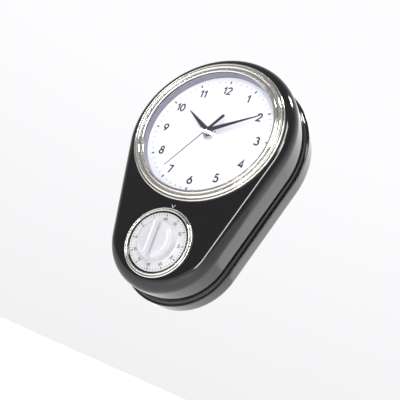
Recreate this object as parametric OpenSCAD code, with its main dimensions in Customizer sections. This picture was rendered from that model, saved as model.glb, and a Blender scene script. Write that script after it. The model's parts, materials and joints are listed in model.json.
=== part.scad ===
// Wall clock with a wind-up minute timer: teardrop case, chrome rings, quartz clock, bell timer.
// Every piece is drawn lying on its back, wall side down, and stand() tips it upright:
// heights in the code are distances out from the wall.

/* [Case] */
// Radius of the upper, clock end of the case
case_r = 89; // [86:0.5:94]
// Radius of the lower, timer end of the case
foot_r = 59; // [55:0.5:63]
// Distance between the centres of the two ends
drop = 107.5; // [100:0.5:115]
// Distance from the wall to the front face
case_depth = 54; // [52:0.5:60]
// Radius of the rounded front edge
shoulder_r = 10.5; // [8:0.5:11]
// Wall thickness of the front case
wall = 2.5; // [2:0.1:3]
// Thickness of the front face
face_t = 2.8; // [2:0.1:3]
// How far the rear case stands out past the front case
rim_step = 4.1; // [3:0.1:5]
// Depth of the rear case from the wall
rim_depth = 16.5; // [12:0.5:20]
// Thickness of the back
back_t = 2.5; // [2:0.1:3]

/* [Hanging] */
// Radius of the round hanging hole
hook_r = 4.5; // [4:0.1:5.5]
// Width of the slot above the hanging hole
hook_slot_w = 4; // [3:0.1:4.4]
// Distance from the hanging hole down to the clock axis
hook_drop = 58; // [54:0.5:62]

/* [Clock face] */
// Inner radius of the bright wall round the dial
well_r = 68.2; // [64:0.2:69]
// Depth of the dial below the front face
dial_sink = 8.7; // [8:0.1:10]
// Outer radius of the clock bezel
bezel_r = 78.5; // [77:0.5:80]
// Height of the clock bezel's crown over the face
bezel_h = 3.6; // [3.2:0.1:4.5]
// Thickness of the glass
lens_t = 1.6; // [1:0.1:1.8]
// Length of the hour hand from the axis
hour_hand_l = 34.7; // [25:0.5:42]
// Length of the minute hand from the axis
minute_hand_l = 54; // [45:0.5:60]
// Length of the second hand's needle from the axis
second_hand_l = 53.7; // [45:0.5:60]
// Length of the second hand's counterweight
tail_l = 22.8; // [15:0.5:30]

/* [Quartz movement] */
// Side of the square movement
movement_w = 56; // [56:0.5:58]
// Radius of the threaded collar
collar_r = 3.9; // [3.8:0.1:4.2]

/* [Timer] */
// Distance from the centre of the lower end down to the timer axis
timer_offset = 14; // [12:0.5:14]
// Radius of the numbered disc
disc_r = 28.5; // [26:0.1:29]
// Dark gap between the disc and its bezel
disc_gap = 1.7; // [1:0.1:2]
// Width of the timer bezel
timer_bezel_w = 3.9; // [3:0.1:4.5]
// Radius of the knob on the disc
knob_r = 19.2; // [15:0.1:20.5]
// Height of the knob over the disc
knob_h = 14; // [9:0.5:18]
// Width of the grip bar
grip_w = 4.4; // [3:0.1:6]
// Turn of the knob from upright at the end of its run, counter-clockwise
knob_rest = 3; // [0:1:6]
// Radius of the movement plates
plate_r = 33; // [32:0.5:34]
// Radius of the bell
bell_r = 20; // [18:0.5:21]

/* [Hidden] */
$fn = 96;

slip = 0.05;         // radial play of a shaft in its hole
gap = 0.2;           // play between parts that only sit side by side
slant = asin((case_r - foot_r) / drop);
timer_drop = drop + timer_offset;
timer_line = hook_drop + timer_drop;
timer_bezel_in = disc_r + disc_gap;
timer_bezel_r = timer_bezel_in + timer_bezel_w;

// heights from the wall
dial_z = case_depth - dial_sink;
dial_t = 1;
gasket_t = 0.4;
lens_z = case_depth + gasket_t;
movement_d = 16.3;
rubber_t = 0.5;
movement_z = dial_z - dial_t - rubber_t;          // front of the movement
movement_back = movement_z - movement_d;
ceiling = movement_z - 1.2;                       // inside of the movement's front wall
collar_z = movement_z + 5.1;
nut_t = 2;
washer_t = 0.2;
disc_t = 1;
disc_z = case_depth + 0.2;
disc_top = disc_z + disc_t;

// clock hands at rest, in degrees clockwise from twelve
hour_turn = 305.3;
minute_turn = 63.6;
second_turn = 213;
hand_t = 0.4;
hour_hand_z = dial_z + 5.9;
minute_hand_z = hour_hand_z + 1.1;
second_hand_z = minute_hand_z + 1;
hour_tube_r = 2.5;
minute_tube_r = 1.9;
second_shaft_r = 0.8;

// the dial's parts round the clock axis
wall_ring_t = 0.9;
skirt_t = 2.3;
well_hole_r = well_r + wall_ring_t + 0.1;
dial_screw_ring = well_hole_r + skirt_t + 2;
dial_r = dial_screw_ring + 3;
dial_screws_at = [for (a = [45 : 90 : 315]) dial_screw_ring * [cos(a), sin(a)]];
lens_r = well_hole_r + 2.8;

// case screws, from the clock axis
screw_r = 1.45;
screw_head_r = 3.1;
boss_r = 4;
small_screw_r = 1;
small_boss_r = 2.6;
small_hole_r = 1.2;
pilot_r = screw_r + slip;
top_boss_ring = case_r - wall - boss_r - 0.5;
foot_boss_ring = foot_r - wall - boss_r - 0.5;
case_screws_at = concat(
    [for (a = [35, 90, 145]) top_boss_ring * [cos(a), sin(a)]],
    [for (a = [-5, 185, -90]) [0, -drop] + foot_boss_ring * [cos(a), sin(a)]]);

window = movement_w + 4;
well_wall = 2;

// clock train: teeth, tooth sizes and places, from the clock axis
motion_at = [0, -12];
third_at = [12.24, 0];
step_at = [-9.6, 0];
rotor_at = step_at + 8.4 * [cos(200), sin(200)];
setting_at = motion_at + 13.5 * [cos(-45), sin(-45)];
battery_r = 7.25;
battery_l = 50.5;
bay_y = movement_w / 2 - 1.2 - 0.2 - battery_r;
bay_wall = bay_y - battery_r - 0.1;
pin_r = 0.75;

// timer train, from the timer axis
timer_back_z = 24;
timer_plate_t = 1.2;
timer_front_z = case_depth - face_t - 3 - timer_plate_t;
arbor_r = 3;
reduction_at = 21 * [cos(150), sin(150)];
drive_at = reduction_at + 15 * [cos(260), sin(260)];
escape_at = drive_at + 10.8 * [cos(280), sin(280)];
verge_at = escape_at + 9.6 * [cos(-40), sin(-40)];
pillar_ring = plate_r - 4.5;
pillars_at = [for (a = [50, 110, -52]) pillar_ring * [cos(a), sin(a)]];
plate_boss_ring = plate_r - 3;
plate_screws_at = [for (a = [10, 80, 190]) plate_boss_ring * [cos(a), sin(a)]];
pivot_r = 0.8;
bell_t = 1;
bell_h = 9;
bell_z = timer_back_z - 4 - bell_h;
hammer_at = [plate_r - 6, -14];
hammer_head_r = 2.5;
hammer_head_at = [bell_r + hammer_head_r + 0.8, 0];

// turns a flat-lying part upright, its axis this far below the hanging hole
module stand(down = 0) {
    rotate([90, 0, 0]) translate([0, -down, 0]) children();
}

// the teardrop outline round the clock axis, grown outwards by grow
module outline(grow = 0) {
    big = case_r + grow;
    small = foot_r + grow;
    circle(big);
    translate([0, -drop]) circle(small);
    polygon([[0, 0], [big * cos(slant), -big * sin(slant)],
        [small * cos(slant), -drop - small * sin(slant)], [0, -drop],
        [-small * cos(slant), -drop - small * sin(slant)], [-big * cos(slant), -big * sin(slant)]]);
}

module outline_block(from, to, grow = 0) {
    translate([0, 0, from]) linear_extrude(to - from) outline(grow);
}

// a disc with a rounded upper edge
module shouldered_disc(r, depth, edge_r) {
    rotate_extrude($fn = 96)
        polygon(concat([[0, 0], [r, 0]], arc([r - edge_r, depth - edge_r], edge_r, 0, 90, 7), [[0, depth]]));
}

module tube(outer, inner, height) {
    difference() {
        cylinder(r = outer, h = height);
        translate([0, 0, -1]) cylinder(r = inner, h = height + 2);
    }
}

module at_each(points) {
    for (p = points) translate([p[0], p[1], 0]) children();
}

// turned ring: profile points are [radius, height]
module ring(points) {
    rotate_extrude($fn = 180) polygon(points);
}

// points along an arc
function arc(centre, r, from, to, steps = 8) =
    [for (i = [0 : steps]) let (a = from + (to - from) * i / steps) centre + r * [cos(a), sin(a)]];

// a flat wheel with straight-flanked teeth, thinned so that a pair always runs free
module gear(teeth, size, thickness, turn = 0) {
    tip = teeth * size / 2 + 0.8 * size;
    root = teeth * size / 2 - 1.15 * size;
    linear_extrude(thickness) rotate(turn) polygon([
        for (i = [0 : teeth - 1]) for (corner = [[root, -0.26], [tip, -0.09], [tip, 0.09], [root, 0.26]])
            let (a = (i + corner[1]) * 360 / teeth) corner[0] * [cos(a), sin(a)]]);
}

// turn of a wheel that meshes with another one: heading is the way from the first centre to the second
function mesh_turn(heading, first_teeth, first_turn, second_teeth) =
    heading + 180 - (0.5 - (heading - first_turn) * first_teeth / 360) * 360 / second_teeth;

// a wheel and its pinion on one arbor, from one pivot tip to the other
module train_wheel(wheel_teeth, wheel_size, wheel_z, wheel_turn,
    pinion_teeth, pinion_size, pinion_z, pinion_turn, from, to, pivot, wheel_t = 0.8, pinion_t = 1.4) {
    low = min(wheel_z, pinion_z);
    high = max(wheel_z + wheel_t, pinion_z + pinion_t);
    translate([0, 0, wheel_z]) gear(wheel_teeth, wheel_size, wheel_t, wheel_turn);
    translate([0, 0, pinion_z]) gear(pinion_teeth, pinion_size, pinion_t, pinion_turn);
    translate([0, 0, from]) cylinder(r = pivot, h = to - from, $fn = 32);
    translate([0, 0, low]) cylinder(r = pivot + 0.3, h = high - low, $fn = 32);
}

// round-headed screw pointing up, head underneath
module screw(head_z, tip_z, shank_r, head_r, head_t) {
    translate([0, 0, head_z]) difference() {
        cylinder(r = head_r, h = head_t, $fn = 48);
        for (a = [0, 90]) rotate(a) translate([-0.7 * head_r, -0.3, -1]) cube([1.4 * head_r, 0.6, 1.5]);
    }
    translate([0, 0, head_z + head_t]) cylinder(r = shank_r, h = tip_z - head_z - head_t, $fn = 48);
}

// a tapered hand pointing up, thickened over its length
module hand_blade(length, root_w, tip_w, thickness) {
    linear_extrude(thickness)
        polygon([[-root_w / 2, 0], [root_w / 2, 0], [tip_w / 2, length], [-tip_w / 2, length]]);
}

module front_case() {
    inner_top = case_depth - face_t;
    side_top = case_depth - shoulder_r;       // where the straight side ends
    step_z = case_depth - 2 * face_t;         // inside of the shoulder, cut in two steps
    boss_top = side_top + 4;
    color("#1b1a1d") stand(hook_drop) difference() {
        union() {
            difference() {
                translate([0, 0, back_t]) hull() {
                    shouldered_disc(case_r, case_depth - back_t, shoulder_r);
                    translate([0, -drop, 0]) shouldered_disc(foot_r, case_depth - back_t, shoulder_r);
                }
                outline_block(0, side_top, -wall);
                outline_block(side_top - 1, step_z, -wall - 2.6);
                outline_block(step_z - 0.4, inner_top, -shoulder_r);
            }
            translate([0, 0, dial_z]) tube(well_hole_r + skirt_t, well_hole_r, dial_sink - 1);
            at_each(dial_screws_at) translate([0, 0, dial_z]) cylinder(r = small_boss_r, h = dial_sink - 1);
            at_each(case_screws_at) translate([0, 0, back_t]) cylinder(r = boss_r, h = boss_top - back_t);
            translate([0, -timer_drop, 0]) at_each(plate_screws_at)
                translate([0, 0, timer_front_z + timer_plate_t]) cylinder(r = small_boss_r, h = 3.5);
        }
        translate([0, 0, dial_z - 1]) cylinder(r = well_hole_r, h = dial_sink + 3, $fn = 180);
        at_each(dial_screws_at) translate([0, 0, dial_z - 1]) cylinder(r = small_screw_r + slip, h = 6);
        at_each(case_screws_at) translate([0, 0, back_t - 1]) cylinder(r = pilot_r, h = 16);
        translate([0, -timer_drop, 0]) {
            at_each(plate_screws_at) translate([0, 0, timer_front_z])
                cylinder(r = small_screw_r + slip, h = 4.6);
            cylinder(r = arbor_r + 1, h = case_depth + 1);
        }
    }
}

module rear_case() {
    color("#201f22") stand(hook_drop) {
        difference() {
            union() {
                difference() {
                    outline_block(0, rim_depth, rim_step);
                    outline_block(back_t, rim_depth - 2, rim_step - wall);
                    outline_block(rim_depth - 3, rim_depth + 1, gap);
                }
                translate([-window / 2 - well_wall, -window / 2 - well_wall, 0])
                    cube([window + 2 * well_wall, window + 2 * well_wall, movement_back + 3]);
            }
            translate([-window / 2, -window / 2, -1]) cube([window, window, movement_back + 5]);
            at_each(case_screws_at) translate([0, 0, -1]) {
                cylinder(r = screw_r + 0.25, h = back_t + 2);
                cylinder(r = screw_head_r + 0.3, h = 2.3);
            }
            translate([0, hook_drop, -1]) {
                cylinder(r = hook_r, h = back_t + 2);
                translate([-hook_slot_w / 2, 0, 0]) cube([hook_slot_w, hook_r + 6, back_t + 2]);
                translate([0, hook_r + 6, 0]) cylinder(r = hook_slot_w / 2, h = back_t + 2);
            }
            for (row = [-2 : 2]) translate([-15, row * 7 - timer_drop - 1.5, -1]) cube([30, 3, back_t + 2]);
        }
    }
}

module case_screws() {
    color("#8d8d90") stand(hook_drop) at_each(case_screws_at) screw(0.2, 14, screw_r, screw_head_r, 1);
}

module clock_bezel() {
    z = case_depth;
    crown = z + bezel_h;
    lip = lens_z + lens_t;
    color("#c9c6c0") stand(hook_drop) ring(concat(
        [[lens_r + gap, z], [bezel_r, z]],
        arc([bezel_r - 1.1, z + 0.7], 1.1, 0, 130),
        [[bezel_r - 2.5, z + 1.1], [bezel_r - 3, z + 1.7]],
        arc([bezel_r - 6.4, crown - 6.4], 6.4, 55, 100),
        [[well_r + 1, crown - 0.5], [well_r - 0.2, lip + 0.5], [well_r - 0.6, lip], [lens_r + gap, lip]]));
}

module clock_lens() {
    color("#e8eef0", 0.3) stand(hook_drop) translate([0, 0, lens_z])
        cylinder(r = lens_r, h = lens_t, $fn = 180);
}

module lens_gasket() {
    color("#141414") stand(hook_drop) translate([0, 0, case_depth])
        tube(lens_r, well_hole_r + 0.4, gasket_t, $fn = 180);
}

module dial_wall() {
    color("#9a9698") stand(hook_drop) translate([0, 0, dial_z])
        tube(well_r + wall_ring_t, well_r, dial_sink, $fn = 180);
}

module dial_plate() {
    color("#f6f5f8") stand(hook_drop) translate([0, 0, dial_z - dial_t]) difference() {
        cylinder(r = dial_r, h = dial_t, $fn = 180);
        translate([0, 0, -1]) cylinder(r = collar_r + 0.1, h = dial_t + 2);
        at_each(dial_screws_at) translate([0, 0, -1]) cylinder(r = small_hole_r, h = dial_t + 2);
    }
}

module dial_screws() {
    color("#8d8d90") stand(hook_drop) at_each(dial_screws_at)
        screw(dial_z - dial_t - 1, dial_z + 4, small_screw_r, 2, 1);
}

module hour_hand() {
    color("#2e2d31") stand(hook_drop) translate([0, 0, hour_hand_z]) rotate(-hour_turn) difference() {
        union() {
            cylinder(r = 4, h = hand_t);
            hand_blade(hour_hand_l, 4.4, 0.9, hand_t);
        }
        translate([0, 0, -1]) cylinder(r = hour_tube_r, h = hand_t + 2);
    }
}

module minute_hand() {
    color("#2e2d31") stand(hook_drop) translate([0, 0, minute_hand_z]) rotate(-minute_turn) difference() {
        union() {
            cylinder(r = 3.6, h = hand_t);
            hand_blade(minute_hand_l, 3.6, 0.8, hand_t);
        }
        translate([0, 0, -1]) cylinder(r = minute_tube_r, h = hand_t + 2);
    }
}

module second_hand() {
    tail_r = 1.3;
    needle_t = 0.3;
    color("#2e2d31") stand(hook_drop) translate([0, 0, second_hand_z]) rotate(-second_turn) difference() {
        union() {
            cylinder(r = 2.2, h = 0.7);
            hand_blade(second_hand_l, 0.7, 0.4, needle_t);
            rotate(180) hand_blade(tail_l - tail_r, 1.8, 2 * tail_r, needle_t);
            translate([0, tail_r - tail_l, 0]) cylinder(r = tail_r, h = needle_t);
        }
        translate([0, 0, -1]) cylinder(r = second_shaft_r, h = 1.4);
    }
}

module collar_nut() {
    color("#c8a24a") stand(hook_drop) translate([0, 0, dial_z + washer_t]) difference() {
        cylinder(r = 6.2, h = nut_t, $fn = 6);
        translate([0, 0, -1]) cylinder(r = collar_r + slip, h = nut_t + 2);
    }
}

module collar_washer() {
    color("#c8a24a") stand(hook_drop) translate([0, 0, dial_z]) tube(6.8, collar_r + 0.1, washer_t);
}

module rubber_washer() {
    color("#101010") stand(hook_drop) translate([0, 0, movement_z]) tube(10, collar_r + 0.1, rubber_t);
}

module movement_case() {
    w = movement_w;
    inside = w - 2.4;
    color("#232326") stand(hook_drop) difference() {
        union() {
            difference() {
                translate([-w / 2, -w / 2, movement_back]) cube([w, w, movement_d]);
                translate([-inside / 2, -inside / 2, movement_back - 1])
                    cube([inside, inside / 2 + bay_wall - 0.8, ceiling - movement_back + 1]);
                translate([-inside / 2, bay_wall, movement_back - 1])
                    cube([inside, inside / 2 - bay_wall, ceiling - movement_back + 1]);
            }
            translate([0, 0, ceiling]) cylinder(r = collar_r, h = collar_z - ceiling);
            translate([motion_at[0], motion_at[1], movement_z - 5]) cylinder(r = pin_r, h = 4.5, $fn = 32);
        }
        translate([0, 0, ceiling - 1]) cylinder(r = hour_tube_r + slip, h = collar_z);
        for (p = [third_at, rotor_at, setting_at]) translate([p[0], p[1], ceiling - 1])
            cylinder(r = pin_r + slip, h = 1.6, $fn = 32);
    }
}

module movement_cover() {
    w = movement_w - 2.6;
    color("#2b2b2f") stand(hook_drop) translate([0, 0, movement_back]) {
        difference() {
            translate([-w / 2, -w / 2, 0]) cube([w, w / 2 + bay_wall - 0.9, 1.5]);
            for (p = [[0, 0], third_at, rotor_at]) translate([p[0], p[1], 0.6])
                cylinder(r = (p == [0, 0] ? second_shaft_r : pin_r) + slip, h = 2, $fn = 32);
            translate([setting_at[0], setting_at[1], -1]) cylinder(r = 1.5 + slip, h = 4);
        }
        translate([step_at[0], step_at[1], 1]) cylinder(r = pin_r, h = 7, $fn = 32);
    }
}

module battery() {
    middle_z = movement_back + battery_r + 0.5;
    color("#3d6b52") stand(hook_drop) translate([-battery_l / 2, bay_y, middle_z]) rotate([0, 90, 0]) {
        cylinder(r = battery_r, h = battery_l - 1.2);
        cylinder(r = 2.75, h = battery_l);
    }
}

module battery_contacts() {
    x = movement_w / 2 - 1.2;
    color("#b9b9b4") stand(hook_drop) for (side = [0, 1]) mirror([side, 0, 0])
        translate([x - 0.5, bay_y - 4, movement_back + 3]) cube([0.4, 8, 9]);
}

module circuit_board() {
    color("#2f6b3f") stand(hook_drop) {
        translate([12.5, -movement_w / 2 + 2, movement_back + 3.5]) difference() {
            cube([13, 16, 0.8]);
            translate([3, 3, -1]) cylinder(r = 0.6, h = 3, $fn = 32);
        }
        translate([16, -movement_w / 2 + 8, movement_back + 4.3]) cube([5, 5, 1]);
    }
}

module drive_coil() {
    color("#a8552b") stand(hook_drop) translate([-24, -21, movement_back + 6.8]) rotate([0, 90, 0]) {
        cylinder(r = 3.6, h = 17);
        for (x = [-0.8, 17]) translate([0, 0, x]) cylinder(r = 4.6, h = 0.8);
    }
}

module stator() {
    z = movement_back + 6.3;
    color("#9c9ca0") stand(hook_drop) difference() {
        union() {
            translate([rotor_at[0] - 6, -15.5, z]) cube([12, 19, 1]);
            translate([rotor_at[0], rotor_at[1] + 1, z]) cylinder(r = 6, h = 1);
        }
        translate([rotor_at[0], rotor_at[1], z - 1]) cylinder(r = 3.6, h = 3);
        translate([rotor_at[0] - 0.4, -16, z - 1]) cube([0.8, 10, 3]);
    }
}

module rotor() {
    at = rotor_at;
    color("#55555c") stand(hook_drop) translate([at[0], at[1], 0]) {
        translate([0, 0, movement_back + 0.8])
            cylinder(r = pin_r, h = ceiling - movement_back - 0.6, $fn = 32);
        translate([0, 0, movement_back + 3.9]) gear(6, 0.4, 1.2, mesh_turn(200, 36, 0, 6));
        translate([0, 0, movement_back + 5.4]) cylinder(r = 2.8, h = 3.4);
    }
}

module step_wheel() {
    color("#e9e4d2") stand(hook_drop) translate([step_at[0], step_at[1], movement_back]) difference() {
        union() {
            translate([0, 0, 4.1]) gear(36, 0.4, 0.8, 0);
            translate([0, 0, 4.1]) gear(8, 0.4, 3.2, mesh_turn(180, 40, 0, 8));
        }
        cylinder(r = pin_r + slip, h = 9, $fn = 32);
    }
}

module seconds_wheel() {
    z = movement_back;
    color("#e9e4d2") stand(hook_drop) {
        translate([0, 0, z + 6.2]) gear(40, 0.4, 0.8, 0);
        translate([0, 0, z + 7.9]) gear(8, 0.36, 1.2, 0);
        translate([0, 0, z + 0.8]) cylinder(r = second_shaft_r, h = second_hand_z + 0.4 - z - 0.8, $fn = 48);
    }
}

module third_wheel() {
    color("#e9e4d2") stand(hook_drop) translate([third_at[0], third_at[1], 0])
        train_wheel(60, 0.36, movement_back + 8.1, mesh_turn(0, 8, 0, 60), 8, 0.34, movement_back + 9.7,
            mesh_turn(0, 64, 0, 8), movement_back + 0.8, ceiling + 0.4, pin_r);
}

module centre_wheel() {
    color("#e9e4d2") stand(hook_drop) translate([0, 0, movement_back + 9.9]) difference() {
        gear(64, 0.34, 0.9, 0);
        translate([0, 0, -1]) cylinder(r = second_shaft_r + 0.1, h = 3);
    }
}

module cannon_pinion() {
    z = movement_back + 10.9;
    color("#d8d3c2") stand(hook_drop) difference() {
        union() {
            translate([0, 0, z]) cylinder(r = 2.2, h = 0.8);
            translate([0, 0, z + 0.8]) gear(12, 0.5, 1.4, 0);
            translate([0, 0, z]) cylinder(r = minute_tube_r, h = minute_hand_z + hand_t - z);
        }
        translate([0, 0, z - 1]) cylinder(r = second_shaft_r + 0.1, h = 40);
    }
}

module motion_wheel() {
    color("#e9e4d2") stand(hook_drop) translate([motion_at[0], motion_at[1], 0]) difference() {
        union() {
            translate([0, 0, ceiling - 3]) gear(36, 0.5, 1, mesh_turn(-90, 12, 0, 36));
            translate([0, 0, ceiling - 2.2]) gear(10, 0.48, 2, mesh_turn(-90, 40, 0, 10));
        }
        translate([0, 0, ceiling - 4]) cylinder(r = pin_r + slip, h = 6, $fn = 32);
    }
}

module hour_wheel() {
    color("#e9e4d2") stand(hook_drop) difference() {
        union() {
            translate([0, 0, ceiling - 1.3]) gear(40, 0.48, 1, 0);
            translate([0, 0, ceiling - 1.3])
                cylinder(r = hour_tube_r, h = hour_hand_z + hand_t - ceiling + 1.3);
        }
        translate([0, 0, ceiling - 3]) cylinder(r = minute_tube_r + slip, h = 30);
    }
}

module setting_knob() {
    color("#b5b5b8") stand(hook_drop) translate([setting_at[0], setting_at[1], 0]) {
        translate([0, 0, movement_back - 3]) gear(30, 0.4, 2.6, 0);
        translate([0, 0, movement_back - 0.5]) cylinder(r = 1.5, h = ceiling - movement_back - 1.8);
        translate([0, 0, ceiling - 3]) gear(18, 0.5, 1, mesh_turn(-45, 36, mesh_turn(-90, 12, 0, 36), 18));
        translate([0, 0, ceiling - 2.5]) cylinder(r = pin_r, h = 2.9, $fn = 32);
    }
}

module timer_bezel() {
    z = case_depth;
    color("#c9c6c0") stand(timer_line) ring(concat(
        [[timer_bezel_in, z], [timer_bezel_r, z]],
        arc([timer_bezel_r - 0.9, z + 0.6], 0.9, 0, 120),
        arc([timer_bezel_in + timer_bezel_w / 2, z + 1.1], 1.4, 55, 125),
        [[timer_bezel_in + 0.3, z + 2.1], [timer_bezel_in, z + 1.8]]));
}

module timer_disc() {
    color("#dcdbdd") stand(timer_line) translate([0, 0, disc_z]) difference() {
        cylinder(r = disc_r, h = disc_t, $fn = 180);
        translate([0, 0, -1]) cylinder(r = arbor_r, h = disc_t + 2);
    }
}

// round puck with a grip bar standing across it
module timer_knob() {
    puck_h = knob_h - 3.5;
    puck_edge = 5.5;
    bar_edge = 1.5;
    draft = 0.6;
    color("#ececee") stand(timer_line) rotate(knob_rest) translate([0, 0, disc_top]) difference() {
        union() {
            ring(concat([[0, 0], [knob_r, 0]],
                arc([knob_r - draft - puck_edge, puck_h - puck_edge], puck_edge, 0, 90), [[0, puck_h]]));
            intersection() {
                ring(concat([[0, 0], [knob_r, 0]],
                    arc([knob_r - draft - bar_edge, knob_h - bar_edge], bar_edge, 0, 90), [[0, knob_h]]));
                linear_extrude(knob_h) union() {
                    square([grip_w, 2 * knob_r - grip_w], center = true);
                    for (side = [-1, 1]) translate([0, side * (knob_r - grip_w / 2)]) circle(r = grip_w / 2);
                }
            }
        }
        translate([0, 0, -1]) cylinder(r = arbor_r, h = 6);
    }
}

module timer_arbor() {
    color("#b9b9b4") stand(timer_line) {
        translate([0, 0, timer_back_z + 0.1]) cylinder(r = 1.5, h = 2);
        translate([0, 0, timer_back_z + timer_plate_t + 0.3])
            cylinder(r = arbor_r, h = disc_top + 5 - timer_back_z - timer_plate_t - 0.3);
    }
}

module great_wheel() {
    color("#c8a24a") stand(timer_line) translate([0, 0, timer_back_z + 3]) difference() {
        gear(60, 0.6, 1.2, 0);
        translate([0, 0, -1]) cylinder(r = arbor_r, h = 4);
    }
}

module stop_cam() {
    color("#b9b9b4") stand(timer_line) translate([0, 0, timer_front_z - 4]) difference() {
        union() {
            cylinder(r = 7, h = 1.5);
            rotate(90) translate([0, -1.5, 0]) cube([11, 3, 1.5]);
        }
        translate([0, 0, -1]) cylinder(r = arbor_r, h = 4);
    }
}

// flat spiral strip, wound outwards from the arbor
module mainspring() {
    turns = 5;
    steps = 32 * turns;
    inner_r = arbor_r + 0.6;
    strip = 0.6;
    function spiral_r(i) = inner_r + 1.9 * i / 32;
    color("#6c6f76") stand(timer_line) translate([0, 0, timer_back_z + 8]) linear_extrude(6) polygon(concat(
        [for (i = [0 : steps]) spiral_r(i) * [cos(i * 360 / 32), sin(i * 360 / 32)]],
        [for (i = [steps : -1 : 0]) (spiral_r(i) + strip) * [cos(i * 360 / 32), sin(i * 360 / 32)]]));
}

module reduction_wheel() {
    color("#c8a24a") stand(timer_line) translate([reduction_at[0], reduction_at[1], 0])
        train_wheel(50, 0.5, timer_back_z + 16, 0, 10, 0.6, timer_back_z + 2.7, mesh_turn(150, 60, 0, 10),
            timer_back_z + 0.2, timer_front_z + timer_plate_t - 0.2, pivot_r, 1, 2);
}

module escape_drive_wheel() {
    color("#c8a24a") stand(timer_line) translate([drive_at[0], drive_at[1], 0])
        train_wheel(45, 0.4, timer_back_z + 18.6, 0, 10, 0.5, timer_back_z + 15.7, mesh_turn(260, 50, 0, 10),
            timer_back_z + 0.2, timer_front_z + timer_plate_t - 0.2, pivot_r, 0.8, 2);
}

module escape_wheel() {
    teeth = 15;
    color("#c8a24a") stand(timer_line) translate([escape_at[0], escape_at[1], 0]) {
        translate([0, 0, timer_back_z + 0.2])
            cylinder(r = pivot_r, h = timer_front_z + timer_plate_t - timer_back_z - 0.4, $fn = 32);
        translate([0, 0, timer_back_z + 18.2]) gear(9, 0.4, 1.6, mesh_turn(280, 45, 0, 9));
        translate([0, 0, timer_back_z + 12]) linear_extrude(0.8) polygon([
            for (i = [0 : teeth - 1]) for (corner = [[4.4, 0], [6, 0.15], [6, 0.3], [4.4, 0.8]])
                let (a = (i + corner[1]) * 360 / teeth) corner[0] * [cos(a), sin(a)]]);
    }
}

// rocking fork that lets the escape wheel go tooth by tooth
module verge() {
    back = atan2(escape_at[1] - verge_at[1], escape_at[0] - verge_at[0]);
    color("#b9b9b4") stand(timer_line) translate([verge_at[0], verge_at[1], 0]) {
        translate([0, 0, timer_back_z + 0.2])
            cylinder(r = pivot_r, h = timer_front_z + timer_plate_t - timer_back_z - 0.4, $fn = 32);
        translate([0, 0, timer_back_z + 11.9]) rotate(back) {
            cylinder(r = 1.8, h = 1);
            translate([-0.8, -6, 0]) cube([1.6, 12, 1]);
            for (side = [-1, 1]) translate([-0.8, side * 6 - 0.5, 0]) cube([4, 1, 1]);
        }
    }
}

module timer_plate(from) {
    translate([0, 0, from]) difference() {
        cylinder(r = plate_r, h = timer_plate_t);
        translate([0, 0, -1]) for (p = [reduction_at, drive_at, escape_at, verge_at])
            translate([p[0], p[1], 0]) cylinder(r = pivot_r + slip, h = timer_plate_t + 2, $fn = 32);
        at_each(pillars_at) translate([0, 0, -1]) cylinder(r = 1, h = timer_plate_t + 2);
    }
}

module timer_front_plate() {
    color("#b9b9b4") stand(timer_line) difference() {
        timer_plate(timer_front_z);
        translate([0, 0, timer_front_z - 1]) {
            cylinder(r = arbor_r + slip, h = timer_plate_t + 2);
            at_each(plate_screws_at) cylinder(r = small_hole_r, h = timer_plate_t + 2);
        }
    }
}

module timer_rear_plate() {
    color("#b9b9b4") stand(timer_line) {
        difference() {
            timer_plate(timer_back_z);
            translate([0, 0, timer_back_z - 1]) cylinder(r = 1.5 + slip, h = timer_plate_t + 2);
        }
        translate([hammer_at[0], hammer_at[1], bell_z - 1]) cylinder(r = 1.5, h = timer_back_z - bell_z + 1);
    }
}

module plate_pillars() {
    inside = timer_front_z - timer_back_z - timer_plate_t;
    color("#9c9ca0") stand(timer_line) translate([0, 0, timer_back_z]) at_each(pillars_at) {
        cylinder(r = 1, h = inside + 2 * timer_plate_t);
        translate([0, 0, timer_plate_t]) cylinder(r = 2.2, h = inside);
    }
}

module plate_screws() {
    color("#8d8d90") stand(timer_line) at_each(plate_screws_at)
        screw(timer_front_z - 1.2, timer_front_z + timer_plate_t + 3, small_screw_r, 2, 1.2);
}

// shallow dish, open towards the wall
module bell() {
    dish_r = (bell_r * bell_r + bell_h * bell_h) / (2 * bell_h);
    color("#c9c6c0") stand(timer_line) translate([0, 0, bell_z]) difference() {
        intersection() {
            translate([0, 0, bell_h - dish_r]) sphere(r = dish_r, $fn = 96);
            cylinder(r = bell_r + 1, h = bell_h + 1);
        }
        intersection() {
            translate([0, 0, bell_h - dish_r]) sphere(r = dish_r - bell_t, $fn = 96);
            translate([0, 0, -1]) cylinder(r = bell_r + 1, h = bell_h + 1);
        }
        cylinder(r = 1.5 + slip, h = bell_h + 2);
    }
}

// stud riveted to the rear plate, with the nut that holds the bell on it
module bell_screw() {
    nut_z = bell_z + bell_h - bell_t - 2;
    color("#8d8d90") stand(timer_line) {
        translate([0, 0, nut_z]) cylinder(r = 3, h = 1.7, $fn = 6);
        translate([0, 0, nut_z + 1.6]) cylinder(r = 1.5, h = timer_back_z - nut_z - 2.1);
        translate([0, 0, timer_back_z - 1]) cylinder(r = 3, h = 1);
    }
}

module bell_hammer() {
    reach = hammer_head_at - hammer_at;
    color("#b9b9b4") stand(timer_line) translate([hammer_at[0], hammer_at[1], bell_z + 1]) difference() {
        union() {
            cylinder(r = 3.2, h = 2);
            rotate(atan2(reach[1], reach[0])) translate([0, -1, 0]) cube([norm(reach), 2, 2]);
            translate([reach[0], reach[1], -1]) cylinder(r = hammer_head_r, h = 4);
        }
        translate([0, 0, -1]) cylinder(r = 1.5 + slip, h = 4);
    }
}

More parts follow.
